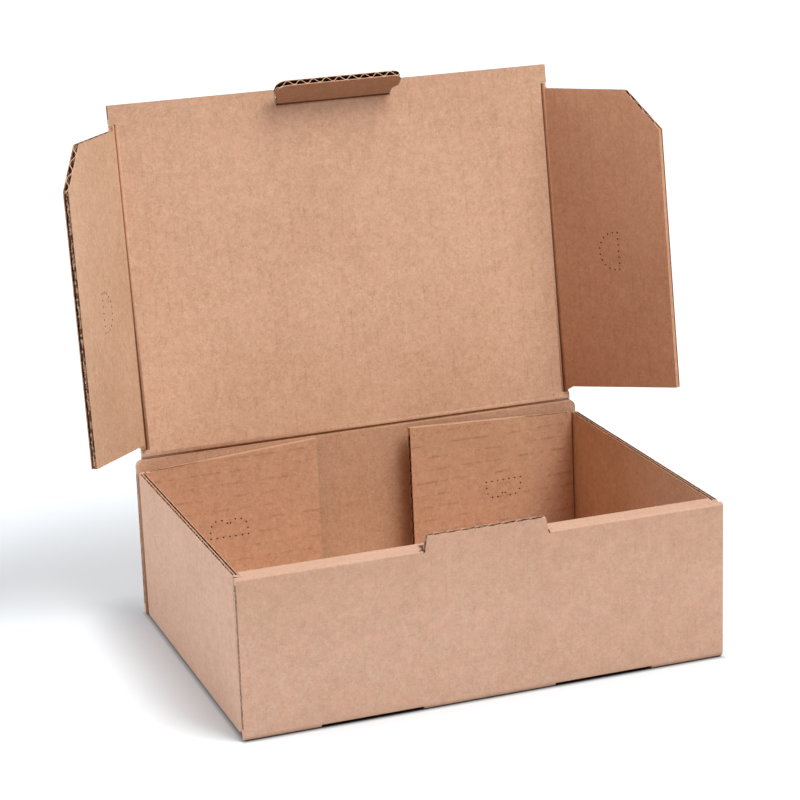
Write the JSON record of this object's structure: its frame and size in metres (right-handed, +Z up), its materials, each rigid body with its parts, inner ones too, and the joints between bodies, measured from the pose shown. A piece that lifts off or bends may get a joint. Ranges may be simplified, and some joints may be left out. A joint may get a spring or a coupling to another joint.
{
  "type": "corrugated mailer box",
  "caption": "Open corrugated board mailer box with a hinged tuck-in lid, folding lid flaps, tuck tab, rolled front wall and corner flaps.",
  "frame": {"origin": "centre of the base's underside", "axes": "+Z up, the front wall faces -Y, X along the front"},
  "size_m": [0.2962, 0.1931, 0.2536],
  "materials": {
    "kraft_board": "matt kraft liner"
  },
  "bodies": {
    "tray": {"tray": "kraft_board"},
    "lid": {"lid": "kraft_board"},
    "left_lid_flap": {"left_lid_flap": "kraft_board"},
    "right_lid_flap": {"right_lid_flap": "kraft_board"},
    "tuck_tab": {"tuck_tab": "kraft_board"},
    "left_corner_flap": {"left_corner_flap": "kraft_board"},
    "right_corner_flap": {"right_corner_flap": "kraft_board"}
  },
  "joints": [
    {"name": "lid_hinge", "type": "hinge", "parent": "tray", "child": "lid", "pos_m": [0, 0.0825, 0.081], "axis": [1, 0, 0], "range_deg": [-105, 74]},
    {"name": "left_lid_flap_fold", "type": "hinge", "parent": "lid", "child": "left_lid_flap", "pos_m": [-0.1103, 0.09446, 0.1601], "axis": [0, 0.1495, 0.9888], "range_deg": [-57, 35]},
    {"name": "right_lid_flap_fold", "type": "hinge", "parent": "lid", "child": "right_lid_flap", "pos_m": [0.1103, 0.09446, 0.1601], "axis": [0, -0.1495, -0.9888], "range_deg": [-59, 33]},
    {"name": "tuck_tab_fold", "type": "hinge", "parent": "lid", "child": "tuck_tab", "pos_m": [0, 0.10669, 0.24098], "axis": [1, 0, 0], "range_deg": [-59, 32]},
    {"name": "left_corner_flap_fold", "type": "hinge", "parent": "tray", "child": "left_corner_flap", "pos_m": [-0.112, 0.0753, 0.003], "axis": [0, 0.0312, 0.9995], "range_deg": [-85, 0]},
    {"name": "right_corner_flap_fold", "type": "hinge", "parent": "tray", "child": "right_corner_flap", "pos_m": [0.112, 0.0753, 0.003], "axis": [0, -0.0312, -0.9995], "range_deg": [-82, 3.2]}
  ]
}
